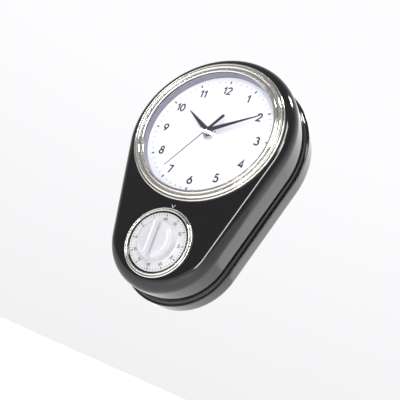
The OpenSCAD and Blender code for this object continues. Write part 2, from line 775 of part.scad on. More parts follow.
front_case();
rear_case();
case_screws();
clock_bezel();
clock_lens();
lens_gasket();
dial_wall();
dial_plate();
dial_screws();
hour_hand();
minute_hand();
second_hand();
collar_nut();
collar_washer();
rubber_washer();
movement_case();
movement_cover();
battery();
battery_contacts();
circuit_board();
drive_coil();
stator();
rotor();
step_wheel();
seconds_wheel();
third_wheel();
centre_wheel();
cannon_pinion();
motion_wheel();
hour_wheel();
setting_knob();
timer_bezel();
timer_disc();
timer_knob();
timer_arbor();
great_wheel();
stop_cam();
mainspring();
reduction_wheel();
escape_drive_wheel();
escape_wheel();
verge();
timer_front_plate();
timer_rear_plate();
plate_pillars();
plate_screws();
bell();
bell_screw();
bell_hammer();
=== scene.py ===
import json
import math
import bmesh
import bpy
import numpy as np
from mathutils import Matrix, Vector


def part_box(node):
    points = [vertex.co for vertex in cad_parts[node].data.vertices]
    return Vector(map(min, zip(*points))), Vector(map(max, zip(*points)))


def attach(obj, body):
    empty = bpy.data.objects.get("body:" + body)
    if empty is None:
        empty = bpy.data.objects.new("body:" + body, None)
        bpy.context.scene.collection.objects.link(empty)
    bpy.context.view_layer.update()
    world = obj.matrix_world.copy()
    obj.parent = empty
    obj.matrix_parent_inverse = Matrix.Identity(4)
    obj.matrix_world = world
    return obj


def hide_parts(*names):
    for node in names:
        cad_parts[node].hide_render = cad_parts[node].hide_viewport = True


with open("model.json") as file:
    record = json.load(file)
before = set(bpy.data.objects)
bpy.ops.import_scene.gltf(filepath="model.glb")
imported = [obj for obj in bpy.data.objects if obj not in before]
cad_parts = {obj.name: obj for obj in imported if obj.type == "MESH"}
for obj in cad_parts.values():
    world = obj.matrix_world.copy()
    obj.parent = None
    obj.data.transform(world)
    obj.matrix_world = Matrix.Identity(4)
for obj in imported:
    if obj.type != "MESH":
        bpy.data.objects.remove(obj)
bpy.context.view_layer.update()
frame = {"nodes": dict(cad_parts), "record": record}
scene = bpy.context.scene
nodes = frame["nodes"]
mm = 0.001
print("frame loaded:", len(nodes), "nodes")


# sizes read from the frame, in millimetres; heights are distances out from the wall
def turned(node):
    # a round part: how far its axis lies under the hook, its radius and the heights of its two ends
    low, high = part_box(node)
    return {"down": -(low.z + high.z) / 2 / mm, "radius": (high.x - low.x) / 2 / mm,
            "back": -high.y / mm, "front": -low.y / mm}


dial = turned("dial_plate")
well = turned("dial_wall")
lens = turned("clock_lens")
clockBezel = turned("clock_bezel")
timerBezel = turned("timer_bezel")
timerDisc = turned("timer_disc")
knob = turned("timer_knob")
frontCase = turned("front_case")
rearCase = turned("rear_case")
clockDown = dial["down"]
timerDown = timerDisc["down"]
faceHeight = frontCase["front"]
caseFoot = -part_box("front_case")[0].z / mm

# how meshes are cleaned: distances in mm, holes up to so many sides, creases in degrees
meshRules = {"merge": 0.002, "sliver": 0.001, "cadMerge": 0.001, "holeSides": 12, "crease": 35,
             "cadCrease": 28, "shellCrease": 30, "ringCrease": 40, "handCrease": 12, "knobCrease": 60}


def toFrame(points, down):
    # a drawing lying on its back (x right, y up the face, h out from the wall) stood upright, in metres
    x, y, h = np.moveaxis(np.asarray(points, float), -1, 0)
    return np.stack([x, -h, y - down], -1) * mm


def addMesh(name, points, faces):
    # points and faces of equal side count, as whole arrays
    faces = np.asarray(faces, np.int32)
    mesh = bpy.data.meshes.new(name)
    mesh.vertices.add(len(points))
    mesh.vertices.foreach_set("co", np.asarray(points, np.float32).ravel())
    mesh.loops.add(faces.size)
    mesh.loops.foreach_set("vertex_index", faces.ravel())
    mesh.polygons.add(len(faces))
    mesh.polygons.foreach_set("loop_start", np.arange(0, faces.size, faces.shape[1], dtype=np.int32))
    mesh.update(calc_edges=True)
    obj = bpy.data.objects.new(name, mesh)
    scene.collection.objects.link(obj)
    return obj


def gridFaces(rows, columns, wrapRows=True, wrapColumns=False):
    # quads between neighbours on a grid; a wrapped direction joins its last line to its first
    ids = np.arange(rows * columns).reshape(rows, columns)
    if wrapRows:
        ids = np.concatenate([ids, ids[:1]])
    if wrapColumns:
        ids = np.concatenate([ids, ids[:, :1]], 1)
    return np.stack([ids[:-1, :-1], ids[1:, :-1], ids[1:, 1:], ids[:-1, 1:]], -1).reshape(-1, 4)


def settle(obj, crease=meshRules["crease"]):
    # merge poles and seams, close open ends, turn every face outwards, then smooth all but the real edges
    work = bmesh.new()
    work.from_mesh(obj.data)
    bmesh.ops.remove_doubles(work, verts=work.verts, dist=meshRules["merge"] * mm)
    bmesh.ops.dissolve_degenerate(work, edges=work.edges, dist=meshRules["sliver"] * mm)
    openEdges = [e for e in work.edges if e.is_boundary]
    bmesh.ops.holes_fill(work, edges=openEdges, sides=meshRules["holeSides"])
    bmesh.ops.recalc_face_normals(work, faces=work.faces)
    work.to_mesh(obj.data)
    work.free()
    obj.data.polygons.foreach_set("use_smooth", np.ones(len(obj.data.polygons), bool))
    obj.data.set_sharp_from_angle(angle=math.radians(crease))
    return obj


def combine(obj, tool, operation):
    # cut the tool out of a piece, or weld it on, and keep only the result
    settle(obj)
    settle(tool)
    change = obj.modifiers.new("combine", "BOOLEAN")
    change.operation = operation
    change.solver = "EXACT"
    change.object = tool
    result = bpy.data.meshes.new_from_object(obj.evaluated_get(bpy.context.evaluated_depsgraph_get()))
    obj.modifiers.clear()
    obj.data = result
    bpy.data.objects.remove(tool)


def finishPiece(obj, body, material, slotName, *replaced):
    # the last step of every piece: its material, the body that it rides on and what it stands for
    obj.data.materials.clear()
    obj.data.materials.append(material)
    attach(obj, body)
    if replaced:
        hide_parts(*replaced)


def arc(x, y, radius, start, end, steps):
    # points round a circle's arc: centre + radius * (cos a, sin a)
    a = np.radians(np.linspace(start, end, steps + 1))
    return np.stack([x + radius * np.cos(a), y + radius * np.sin(a)], -1)


def lathe(name, profile, down, steps):
    # a closed profile of (radius r, height h) turned round the axis: (r cos a, r sin a, h)
    a = np.linspace(0, 2 * np.pi, steps, endpoint=False)[:, None]
    r, h = np.asarray(profile, float).T
    points = np.stack([r * np.cos(a), r * np.sin(a), h + 0 * a], -1)
    return addMesh(name, toFrame(points, down).reshape(-1, 3), gridFaces(steps, len(r), True, True))


def blocks(centres, sizes, turns):
    # boxes: corner = centre + turn * (half size * corner sign); eight corners and six faces each
    signs = np.array([[x, y, z] for z in (-1, 1) for y in (-1, 1) for x in (-1, 1)], float)
    local = np.asarray(sizes, float)[:, None] / 2 * signs
    c, s = np.cos(turns)[:, None], np.sin(turns)[:, None]
    corners = np.stack([local[..., 0] * c - local[..., 1] * s, local[..., 0] * s + local[..., 1] * c,
                        local[..., 2]], -1) + np.asarray(centres, float)[:, None]
    quads = np.array([[0, 2, 3, 1], [4, 5, 7, 6], [0, 1, 5, 4], [2, 6, 7, 3], [0, 4, 6, 2], [1, 3, 7, 5]])
    faces = quads[None] + 8 * np.arange(len(local))[:, None, None]
    return corners.reshape(-1, 3), faces.reshape(-1, 4)


# materials
def linear(hexColour):
    # sRGB hex to linear light
    c = np.array([int(hexColour[i:i + 2], 16) for i in (1, 3, 5)]) / 255
    c = np.where(c <= 0.04045, c / 12.92, ((c + 0.055) / 1.055) ** 2.4)
    return (*c.tolist(), 1.0)


def addNode(tree, kind, inputs=None, **settings):
    # one node with its settings; an input is either a value or the socket that feeds it
    node = tree.nodes.new(kind)
    for key, value in settings.items():
        setattr(node, key, value)
    for key, value in (inputs or {}).items():
        if isinstance(value, bpy.types.NodeSocket):
            tree.links.new(value, node.inputs[key])
        else:
            node.inputs[key].default_value = value
    return node


def newMaterial(name):
    # the material, its node tree and the shader that a new tree starts with
    material = bpy.data.materials.new(name)
    material.use_nodes = True
    tree = material.node_tree
    return material, tree, tree.nodes["Principled BSDF"]


def finish(name, colour, darker, rough, grain, bump=0.0, metallic=0.0, stretch=(1, 1, 1), other=None):
    # one surface: noise at the grain's size in mm moves colour, roughness and height (bump, in mm) a little
    material, tree, shader = newMaterial(name)
    place = addNode(tree, "ShaderNodeTexCoord")
    scaled = addNode(tree, "ShaderNodeMapping", {"Vector": place.outputs["Object"], "Scale": stretch})
    fine = addNode(tree, "ShaderNodeTexNoise", {"Vector": scaled.outputs["Vector"], "Scale": 1 / (grain * mm),
                                                "Detail": 4.0, "Roughness": 0.6})
    # a colour mix takes its factor, A and B on sockets 0, 6 and 7 and gives the colour on output 2
    tint = addNode(tree, "ShaderNodeMix", {0: fine.outputs["Fac"], 6: linear(darker), 7: linear(colour)},
                   data_type="RGBA")
    sheen = addNode(tree, "ShaderNodeMapRange", {"Value": fine.outputs["Fac"], "From Min": 0.3,
                                                 "From Max": 0.7, "To Min": rough[0], "To Max": rough[1]})
    tree.links.new(tint.outputs[2], shader.inputs["Base Color"])
    tree.links.new(sheen.outputs["Result"], shader.inputs["Roughness"])
    shader.inputs["Metallic"].default_value = metallic
    if bump:
        relief = addNode(tree, "ShaderNodeBump", {"Height": fine.outputs["Fac"], "Distance": bump * mm,
                                                  "Strength": 1.0})
        tree.links.new(relief.outputs["Normal"], shader.inputs["Normal"])
    for key, value in (other or {}).items():
        shader.inputs[key].default_value = value
    return material


def lensGlass():
    # clear flat glass: see-through, its faint mirror 0.03 + 0.97 (1 - cos angle)^5 of the light
    material, tree, mirror = newMaterial("clearGlass")
    mirror.inputs["Base Color"].default_value = linear("#ffffff")
    mirror.inputs["Metallic"].default_value = 1.0
    mirror.inputs["Roughness"].default_value = 0.03
    clear = addNode(tree, "ShaderNodeBsdfTransparent", {"Color": linear("#fbfcfd")})
    glance = addNode(tree, "ShaderNodeLayerWeight", {"Blend": 0.5})
    steep = addNode(tree, "ShaderNodeMath", {0: glance.outputs["Facing"], 1: 5.0}, operation="POWER")
    share = addNode(tree, "ShaderNodeMapRange", {"Value": steep.outputs[0], "To Min": 0.03, "To Max": 1.0})
    both = addNode(tree, "ShaderNodeMixShader", {0: share.outputs["Result"], 1: clear.outputs[0],
                                                 2: mirror.outputs[0]})
    tree.links.new(both.outputs[0], tree.nodes["Material Output"].inputs["Surface"])
    return material


# name, two colours, roughness from and to, grain in mm, height in mm, metallic, stretch of the grain.
# orange-peel, mill lines and mottling are near their real size; sprayed, sparked, blasted, turned and moulded
# grain is finer on the real thing and is drawn this coarse so that it shows
materials = {
    # high-gloss ABS out of a polished mould: near-black, a faint orange-peel in the shine
    "case_black": finish("glossBlackAbs", "#0e0d0f", "#0a090b", (0.05, 0.09), 2.5, 0.004,
                         other={"IOR": 1.53}),
    # bright chromium plate on moulded rings: a warm mirror, barely softened
    "bezel_chrome": finish("brightChrome", "#e6e4de", "#d9d7d2", (0.06, 0.11), 4.0, 0.001, 1.0),
    # float glass, as made: only a faint mirror tells that it is there
    "lens_glass": lensGlass(),
    # moulded nitrile rubber: soft black with no shine
    "black_rubber": finish("nitrileRubber", "#1a1a1a", "#121212", (0.7, 0.85), 0.6, 0.02),
    # rolled aluminium strip, its mill lines running round the well: a grey streaky gleam
    "well_aluminium": finish("rolledAluminium", "#a6a4ad", "#88868f", (0.24, 0.38), 3.0, 0.01, 1.0,
                             (1, 6, 1)),
    # sheet steel sprayed satin white: even and cool, without a hot spot
    "dial_white": finish("sprayedWhite", "#fbfaff", "#f3f2f8", (0.42, 0.52), 1.2, 0.002),
    # stamped aluminium hands in semi-gloss black lacquer: dark, with one soft line of light
    "hand_black": finish("blackLacquer", "#2b2a2e", "#222125", (0.26, 0.36), 1.0, 0.004),
    # brass turned from bar: warm yellow, clouded by the tool
    "brass": finish("turnedBrass", "#d3b06a", "#b8934c", (0.22, 0.34), 0.8, 0.004, 1.0),
    # zinc plate on steel screws: cool grey, slightly mottled
    "screw_steel": finish("zincPlate", "#96979c", "#7e7f85", (0.25, 0.4), 0.7, 0.004, 1.0),
    # cold-rolled spring strip and wire: fine lines along it, a hard grey shine
    "spring_steel": finish("rolledSteel", "#a8aab0", "#8f9197", (0.22, 0.34), 1.5, 0.004, 1.0, (1, 1, 5)),
    # plates stamped from steel sheet: pale grey, a little matt from the press
    "plate_steel": finish("stampedSteel", "#bcbcbe", "#a3a3a6", (0.3, 0.42), 2.0, 0.005, 1.0),
    # nickel plate on the drawn bell: a pale warm mirror with soft edges
    "bell_steel": finish("nickelPlate", "#c9c8c6", "#b4b3b2", (0.1, 0.18), 3.0, 0.003, 1.0),
    # black polystyrene out of a spark-eroded mould: dull and pebbled
    "movement_plastic": finish("sparkedBlack", "#252528", "#1a1a1d", (0.5, 0.66), 0.5, 0.03),
    # natural acetal, moulded: creamy and waxy
    "wheel_plastic": finish("naturalAcetal", "#e8e2cf", "#dcd5bf", (0.3, 0.4), 1.0, 0.004),
    # printed sleeve shrunk round the cell: green and smooth
    "battery_jacket": finish("shrinkSleeve", "#2f7a58", "#276a4b", (0.2, 0.3), 2.0, 0.005),
    # solder resist over glass-fibre board: deep satin green
    "board_green": finish("solderResist", "#2c6b3c", "#235a31", (0.3, 0.45), 0.8, 0.01),
    # enamelled copper wire in a wound coil: red-brown, ribbed by its turns
    "copper_wire": finish("enamelledCopper", "#b9673a", "#8f4a26", (0.25, 0.4), 0.35, 0.03, 0.8, (0.1, 1, 1)),
    # bonded ferrite, pressed: dark grey and grainy
    "magnet_grey": finish("bondedFerrite", "#5a5a60", "#494950", (0.5, 0.65), 0.4, 0.01),
    # grey ABS, moulded matt: plain and soft
    "knob_grey": finish("mouldedGrey", "#b4b4b6", "#a6a6a9", (0.35, 0.48), 0.8, 0.01),
    # aluminium disc under a satin silver lacquer: pale metal with hardly any mirror
    "disc_silver": finish("satinSilver", "#dcdbdd", "#cfced1", (0.3, 0.4), 0.6, 0.003, 0.35),
    # opaque white urea, pressed and polished: pale, with small sharp glints
    "knob_white": finish("polishedWhite", "#bdbdc1", "#b6b6ba", (0.08, 0.14), 2.0, 0.003,
                         other={"IOR": 1.54}),
}
# screen-printed inks: flat, dry colour
ink = finish("darkPrint", "#1d1c1f", "#19181b", (0.45, 0.6), 0.5)
paleInk = finish("greyPrint", "#8f8e94", "#858489", (0.45, 0.6), 0.5)
whiteInk = finish("whitePrint", "#b5b2ab", "#aaa7a1", (0.4, 0.55), 0.5)
# bead-blasted zinc of the nut and washer on the dial, pale beside the hands
blastedZinc = finish("blastedZinc", "#d9d9dd", "#cbcbd0", (0.45, 0.55), 0.4, 0.004, 0.5)
ownFinish = {"collar_nut": blastedZinc, "collar_washer": blastedZinc}

slotOf = {p["node"]: p["material_slot"] for p in frame["record"]["subparts"]}
for nodeName, obj in nodes.items():
    obj.data.materials.clear()
    obj.data.materials.append(ownFinish.get(nodeName, materials[slotOf[nodeName]]))
    obj.data.polygons.foreach_set("use_smooth", np.ones(len(obj.data.polygons), bool))
    weld = obj.modifiers.new("weld", "WELD")
    weld.merge_threshold = meshRules["cadMerge"] * mm
    edges = obj.modifiers.new("edges", "EDGE_SPLIT")
    edges.split_angle = math.radians(meshRules["cadCrease"])
print("materials:", len(bpy.data.materials))

# the teardrop case: its outline and what both halves share, in mm and degrees;
# "past" is how far a cutter runs on beyond the wall that it cuts
caseShape = {
    "footRadius": 59, "wall": 2.5, "bottom": 2.5, "rimDepth": 16.5, "bossRadius": 4, "bossGap": 0.5,
    "topScrews": (35, 90, 145), "footScrews": (-5, 185, -90), "past": 1,
    "arcSteps": 216, "footSteps": 120, "sideSteps": 16,
}


def teardrop(grow=0.0):
    # a belt round two discs: each outline point is a disc's centre plus its radius along a normal,
    # and on the two straight sides the centre and the radius run evenly from one disc to the other
    s = caseShape
    big, small = frontCase["radius"] + grow, s["footRadius"] + grow
    drop = caseFoot - clockDown - s["footRadius"]
    slant = math.asin((big - small) / drop)
    run = np.linspace(0, 1, s["sideSteps"], endpoint=False)
    spread = [np.linspace(-slant, np.pi + slant, s["arcSteps"], endpoint=False),
              np.full(len(run), np.pi + slant),
              np.linspace(np.pi + slant, 2 * np.pi - slant, s["footSteps"], endpoint=False),
              np.full(len(run), -slant)]
    share = [np.zeros(s["arcSteps"]), run, np.ones(s["footSteps"]), 1 - run]
    a, t = np.concatenate(spread), np.concatenate(share)
    centre = np.stack([0 * t, -drop * t], -1)
    return centre, np.stack([np.cos(a), np.sin(a)], -1), big + (small - big) * t


def beltShell(name, profile, grow=0.0):
    # a closed profile carried round the teardrop: point = centre + normal * (radius - inset) * share
    centre, normal, radius = teardrop(grow)
    inset, height, share = np.asarray(profile, float).T
    reach = (radius[:, None] - inset) * share
    flat = centre[:, None] + normal[:, None] * reach[..., None]
    points = np.concatenate([flat, np.broadcast_to(height, reach.shape)[..., None]], -1)
    return addMesh(name, toFrame(points, clockDown).reshape(-1, 3), gridFaces(len(radius), len(inset)))


def onBelt(points):
    # profile points (inset, height) that lie out on the belt: their share of the radius is 1
    points = np.asarray(points, float)
    return np.concatenate([points, np.ones((len(points), 1))], 1)


def upright(heights):
    # profile points straight up the outer side, at no inset
    return onBelt(np.stack([0 * heights, heights], -1))


def rodSet(name, places, radius, low, high, down=clockDown, steps=48):
    # upright cylinders side by side in one mesh: (x + r cos a, y + r sin a, h), with a pole at each end
    a = np.linspace(0, 2 * np.pi, steps, endpoint=False)[:, None]
    r = np.array([0, radius, radius, 0])
    h = np.array([low, low, high, high])
    rod = np.stack([r * np.cos(a), r * np.sin(a), h + 0 * a], -1).reshape(-1, 3)
    points = rod + np.array([[x, y, 0] for x, y in places])[:, None]
    faces = gridFaces(steps, 4) + 4 * steps * np.arange(len(places))[:, None, None]
    return addMesh(name, toFrame(points.reshape(-1, 3), down), faces.reshape(-1, 4))


def casePlaces():
    # case screws: three round the clock end and three round the foot, each just inside the wall
    s = caseShape
    drop = caseFoot - clockDown - s["footRadius"]
    inset = s["wall"] + s["bossRadius"] + s["bossGap"]

    def around(radius, angles, y):
        return [(radius * math.cos(math.radians(a)), radius * math.sin(math.radians(a)) + y) for a in angles]

    top = around(frontCase["radius"] - inset, s["topScrews"], 0)
    return top + around(s["footRadius"] - inset, s["footScrews"], -drop)


frontShape = {
    "shoulder": 10.5, "faceThickness": 2.8, "innerShoulder": 7.5, "flare": 3.3, "flareSweep": 64,
    "lap": 0.4, "footGap": 0.05, "dialGap": 0.1, "skirt": 2.3, "skirtSteps": 216, "dialSteps": 288,
    "bossEnd": 47.5, "pilotRadius": 1.5, "pilotEnd": 18.5, "arborRadius": 4,
    "shoulderSteps": 20, "innerSteps": 10, "flareSteps": 10, "sideRows": 8,
}


def frontShell():
    # profile from the middle of the face outwards: shoulder, side, flared foot, lap into the rear case,
    # then back up the inside; welded to it are the skirt round the dial and the screw bosses
    s, f = caseShape, frontShape
    past, bottom, shoulder, inner = s["past"], s["bottom"], f["shoulder"], f["innerShoulder"]
    inside = faceHeight - f["faceThickness"]
    foot = s["rimDepth"] + f["footGap"]
    turn = arc(shoulder, faceHeight - shoulder, shoulder, 90, 180, f["shoulderSteps"])
    innerTurn = arc(s["wall"] + inner, inside - inner, inner, 180, 90, f["innerSteps"])
    flareFoot = arc(-f["flare"], foot + f["flare"], f["flare"], 0, -f["flareSweep"], f["flareSteps"])
    side = np.linspace(faceHeight - shoulder, foot + f["flare"], f["sideRows"])[1:-1]
    profile = np.concatenate([
        [[0, faceHeight, 0]], onBelt(turn), upright(side), onBelt(flareFoot),
        onBelt([[flareFoot[-1, 0], foot], [0, foot], [0, bottom + f["lap"]], [f["lap"], bottom],
                [s["wall"], bottom]]),
        onBelt(innerTurn), [[0, inside, 0]]])
    shell = beltShell("front_case_shell", profile)
    hole = well["radius"] + f["dialGap"]
    near, far = hole - 2 * past, hole + f["skirt"]
    back, front = well["back"], inside + past
    section = [[near, back], [far, back], [far, front], [near, front]]
    skirt = lathe("skirt", section, clockDown, f["skirtSteps"])
    combine(shell, skirt, "UNION")
    combine(shell, rodSet("bosses", casePlaces(), s["bossRadius"], bottom, f["bossEnd"]), "UNION")
    dialHole = rodSet("dialHole", [(0, 0)], hole, back - past, faceHeight + 2 * past, steps=f["dialSteps"])
    pilotHoles = rodSet("pilotHoles", casePlaces(), f["pilotRadius"], bottom - past, f["pilotEnd"])
    arborHole = rodSet("arborHole", [(0, 0)], f["arborRadius"], inside - 2 * past, faceHeight + past,
                       timerDown)
    for cutter in (dialHole, pilotHoles, arborHole):
        combine(shell, cutter, "DIFFERENCE")
    settle(shell, meshRules["shellCrease"])
    finishPiece(shell, "case", materials["case_black"], "case_black", "front_case")


rearShape = {
    "rimEdge": 0.7, "rimWall": 2.5, "rimLip": 2.0, "play": 0.2,
    "window": 60, "windowWall": 2, "windowShort": 1, "slotWidth": 4, "slotRise": 6,
    "screwRadius": 1.7, "headRadius": 3.4, "headDepth": 1.3,
    "ventSize": (30, 3), "ventStep": 7, "ventRows": 5, "footSteps": 6, "rimSteps": 8, "sideRows": 5,
}


def boxPiece(name, centre, size, down=clockDown):
    # one box, square to the wall
    corners, faces = blocks([centre], [size], np.zeros(1))
    return addMesh(name, toFrame(corners, down), faces)


def rearShell():
    # profile from the middle of the back outwards: rounded rim, lip that laps over the front case, floor;
    # then the movement's window with its walls, the keyhole for the hook, screw holes and vents
    s, r = caseShape, rearShape
    past, bottom, rim, edge = s["past"], s["bottom"], s["rimDepth"], r["rimEdge"]
    grow = rearCase["radius"] - frontCase["radius"]
    inner = grow - r["play"]
    side = np.linspace(edge, rim - edge, r["sideRows"])[1:-1]
    profile = np.concatenate([
        [[0, 0, 0]], onBelt(arc(edge, edge, edge, 270, 180, r["footSteps"])), upright(side),
        onBelt(arc(edge, rim - edge, edge, 180, 90, r["rimSteps"])),
        onBelt([[inner, rim], [inner, rim - r["rimLip"]], [r["rimWall"], rim - r["rimLip"]],
                [r["rimWall"], bottom]]),
        [[0, bottom, 0]]])
    shell = beltShell("rear_case_shell", profile, grow)
    window, depth = r["window"], rearCase["front"]
    outside = window + 2 * r["windowWall"]
    tall = depth - r["windowShort"]
    walls = boxPiece("windowWalls", (0, 0, depth / 2 + r["windowShort"] / 2), (outside, outside, tall))
    combine(shell, walls, "UNION")

    through = bottom + 2 * past
    hook = frame["record"]["mounts"][0]["dims"]["r_mm"]
    rise = hook + r["slotRise"]
    ventWide, ventHigh = r["ventSize"]
    rows = np.arange(r["ventRows"]) - r["ventRows"] // 2
    cutters = [
        boxPiece("windowHole", (0, 0, depth / 2), (window, window, depth + 4 * past)),
        rodSet("hook", [(0, 0)], hook, -past, bottom + past, 0),
        rodSet("slotEnd", [(0, rise)], r["slotWidth"] / 2, -past, bottom + past, 0),
        boxPiece("slot", (0, rise / 2, bottom / 2), (r["slotWidth"], rise, through), 0),
        rodSet("screwHoles", casePlaces(), r["screwRadius"], -past, bottom + past),
        rodSet("screwWells", casePlaces(), r["headRadius"], -past, r["headDepth"]),
        *[boxPiece("vent", (0, r["ventStep"] * row, bottom / 2), (ventWide, ventHigh, through), timerDown)
          for row in rows]]
    for cutter in cutters:
        combine(shell, cutter, "DIFFERENCE")
    settle(shell, meshRules["shellCrease"])
    finishPiece(shell, "case", materials["case_black"], "case_black", "rear_case")


frontShell()
rearShell()
print("case shells")

# chrome rings; each roll runs between two distances in from the rim, and stands on a foot height
clockRing = {"bead": (0, 1.9), "beadFoot": 0.8, "beadRise": 1.1, "beadSteps": 16, "groove": (2.1, 0.3),
             "band": (2.3, 6.6), "bandFoot": 1.3, "bandSteps": 24, "innerGroove": (6.8, 0.05),
             "lipFrom": 7.0, "lipReach": 1.5, "lipFoot": 0.1, "lipRise": 1.2, "lipSteps": 20,
             "seatGap": 0.2, "steps": 360}
timerRing = {"bead": (0, 1.5), "beadFoot": 0.6, "beadRise": 0.9, "beadSteps": 12, "groove": (1.65, 0.2),
             "band": (1.85, 3.9), "bandFoot": 1.0, "bandSteps": 24, "steps": 288}


def roll(inner, outer, base, rise, steps):
    # half-round moulding between two radii, outside in: h = base + rise * sin a
    middle, half = (inner + outer) / 2, (outer - inner) / 2
    a = np.linspace(0, np.pi, steps + 1)
    return np.stack([middle + half * np.cos(a), base + rise * np.sin(a)], -1)


def beadAndBand(s, ring):
    # what both rings have, outside in: a thin bead, a groove and a broad crowned band up to the ring's top
    base, top, outer = ring["back"], ring["front"], ring["radius"]
    beadOut, beadIn = s["bead"]
    bandOut, bandIn = s["band"]
    bead = roll(outer - beadIn, outer - beadOut, base + s["beadFoot"], s["beadRise"], s["beadSteps"])
    rise = top - base - s["bandFoot"]
    band = roll(outer - bandIn, outer - bandOut, base + s["bandFoot"], rise, s["bandSteps"])
    return np.concatenate([bead, [[outer - s["groove"][0], base + s["groove"][1]]], band])


def chromeRing(name, profile, down, steps, replaced):
    # the profile turned round the ring's axis and put on the case in chrome
    ring = settle(lathe(name, profile, down, steps), meshRules["ringCrease"])
    finishPiece(ring, "case", materials["bezel_chrome"], "bezel_chrome", replaced)


def clockBezelRing():
    # closed profile, outside in: bead, band, then an inner band that falls to the glass
    s = clockRing
    base, outer = clockBezel["back"], clockBezel["radius"]
    inner = well["radius"] - s["lipReach"]
    glass, seat = lens["front"], lens["radius"] + s["seatGap"]
    lip = roll(inner, outer - s["lipFrom"], glass + s["lipFoot"], s["lipRise"], s["lipSteps"])
    profile = np.concatenate([
        [[seat, base], [outer, base]], beadAndBand(s, clockBezel),
        [[outer - s["innerGroove"][0], glass + s["innerGroove"][1]]], lip, [[inner, glass], [seat, glass]]])
    chromeRing("clock_bezel_ring", profile, clockDown, s["steps"], "clock_bezel")


def timerBezelRing():
    # closed profile, outside in: bead and band, with the band's inner edge as the ring's hole
    s = timerRing
    base, outer = timerBezel["back"], timerBezel["radius"]
    profile = np.concatenate([[[outer - s["band"][1], base], [outer, base]], beadAndBand(s, timerBezel)])
    chromeRing("timer_bezel_ring", profile, timerDown, s["steps"], "timer_bezel")


clockBezelRing()
timerBezelRing()
print("chrome rings")


# printing: strokes of a plain geometric numeral, in a box one unit high
def bow(x, y, rx, ry, start, end, steps=20):
    # points round an oval's arc: centre + (rx cos a, ry sin a)
    a = np.radians(np.linspace(start, end, steps + 1))
    return np.stack([x + rx * np.cos(a), y + ry * np.sin(a)], -1)


digitStrokes = {
    "0": [bow(0.28, 0.5, 0.28, 0.5, 0, 360, 32)],
    "1": [np.array([[0.0, 0.76], [0.26, 1.0], [0.26, 0.0]])],
    "2": [np.concatenate([bow(0.28, 0.71, 0.26, 0.29, 165, -38), [[0.0, 0.0], [0.56, 0.0]]])],
    "3": [bow(0.25, 0.76, 0.21, 0.24, 155, -90), bow(0.25, 0.26, 0.27, 0.26, 90, -160)],
    "4": [np.array([[0.43, 0.0], [0.43, 1.0], [0.0, 0.25], [0.58, 0.25]])],
    "5": [np.concatenate([[[0.5, 1.0], [0.16, 1.0], [0.08, 0.55]], bow(0.26, 0.32, 0.28, 0.32, 118, -150)])],
    "6": [bow(0.28, 0.3, 0.28, 0.3, 0, 360, 32), np.array([[0.4, 1.0], [0.03, 0.43]])],
    "7": [np.array([[0.0, 1.0], [0.53, 1.0], [0.17, 0.0]])],
    "8": [bow(0.28, 0.76, 0.21, 0.24, 0, 360, 28), bow(0.28, 0.27, 0.27, 0.27, 0, 360, 32)],
    "9": [bow(0.28, 0.7, 0.28, 0.3, 0, 360, 32), np.array([[0.16, 0.0], [0.53, 0.57]])],
}
digitWidth = {d: 0.56 for d in digitStrokes} | {"1": 0.26}
digitGap = 0.28


def ribbon(path, width, low, high):
    # a flat bar carried along a path: path +- mitred normal * half width, between two heights
    closed = np.allclose(path[0], path[-1])
    step = np.diff(path, axis=0)
    step /= np.linalg.norm(step, axis=1)[:, None]
    before = np.concatenate([step[-1:] if closed else step[:1], step])
    after = np.concatenate([step, step[:1] if closed else step[-1:]])
    mean = before + after
    mean /= np.linalg.norm(mean, axis=1)[:, None]
    normal = np.stack([-mean[:, 1], mean[:, 0]], -1)
    stretch = 1 / np.maximum((mean * after).sum(1), 0.5)
    side = normal * (width / 2 * stretch)[:, None]
    edges = [(path + side, high), (path - side, high), (path - side, low), (path + side, low)]
    points = np.stack([np.column_stack([flat, np.full(len(path), h)]) for flat, h in edges], 1)
    faces = gridFaces(len(path), 4, False, True)
    if not closed:
        last = 4 * (len(path) - 1)
        faces = np.concatenate([faces, [[0, 1, 2, 3], [last + 3, last + 2, last + 1, last]]])
    return points.reshape(-1, 3), faces


def gather(parts):
    # join several point and face lists into one
    counts = np.cumsum([0] + [len(p) for p, _ in parts[:-1]])
    return np.concatenate([p for p, _ in parts]), np.concatenate([f + n for (_, f), n in zip(parts, counts)])


def number(value, style, centre, turn, low, high):
    # digits side by side, centred on a place and turned: place + turn * (stroke point * height)
    text = str(value)
    widths = [digitWidth[d] for d in text]
    total = sum(widths) + digitGap * (len(text) - 1)
    starts = np.cumsum([0] + [w + digitGap for w in widths[:-1]]) - total / 2
    c, s = math.cos(turn), math.sin(turn)
    spin = np.array([[c, s], [-s, c]])
    scaleTo = style["numberHeight"] - style["stroke"]
    return [ribbon((path + [start, -0.5]) * scaleTo @ spin + centre, style["stroke"], low, high)
            for digit, start in zip(text, starts) for path in digitStrokes[digit]]


def clockwise(radius, degrees):
    # places round the dial from the top: (radius sin a, radius cos a)
    a = np.radians(degrees)
    return np.stack([radius * np.sin(a), radius * np.cos(a)], -1)


def tickMarks(degrees, middle, length, width, low, high):
    # a thin block across each place on the circle, turned to point at the middle
    count = len(degrees)
    centres = np.column_stack([clockwise(middle, degrees), np.full(count, (low + high) / 2)])
    sizes = np.tile([width, length, high - low], (count, 1))
    return blocks(centres, sizes, -np.radians(degrees))


def printed(name, parts, down, body, material, slotName):
    # strokes and ticks joined into one thin print
    points, faces = gather(parts)
    finishPiece(settle(addMesh(name, toFrame(points, down), faces)), body, material, slotName)


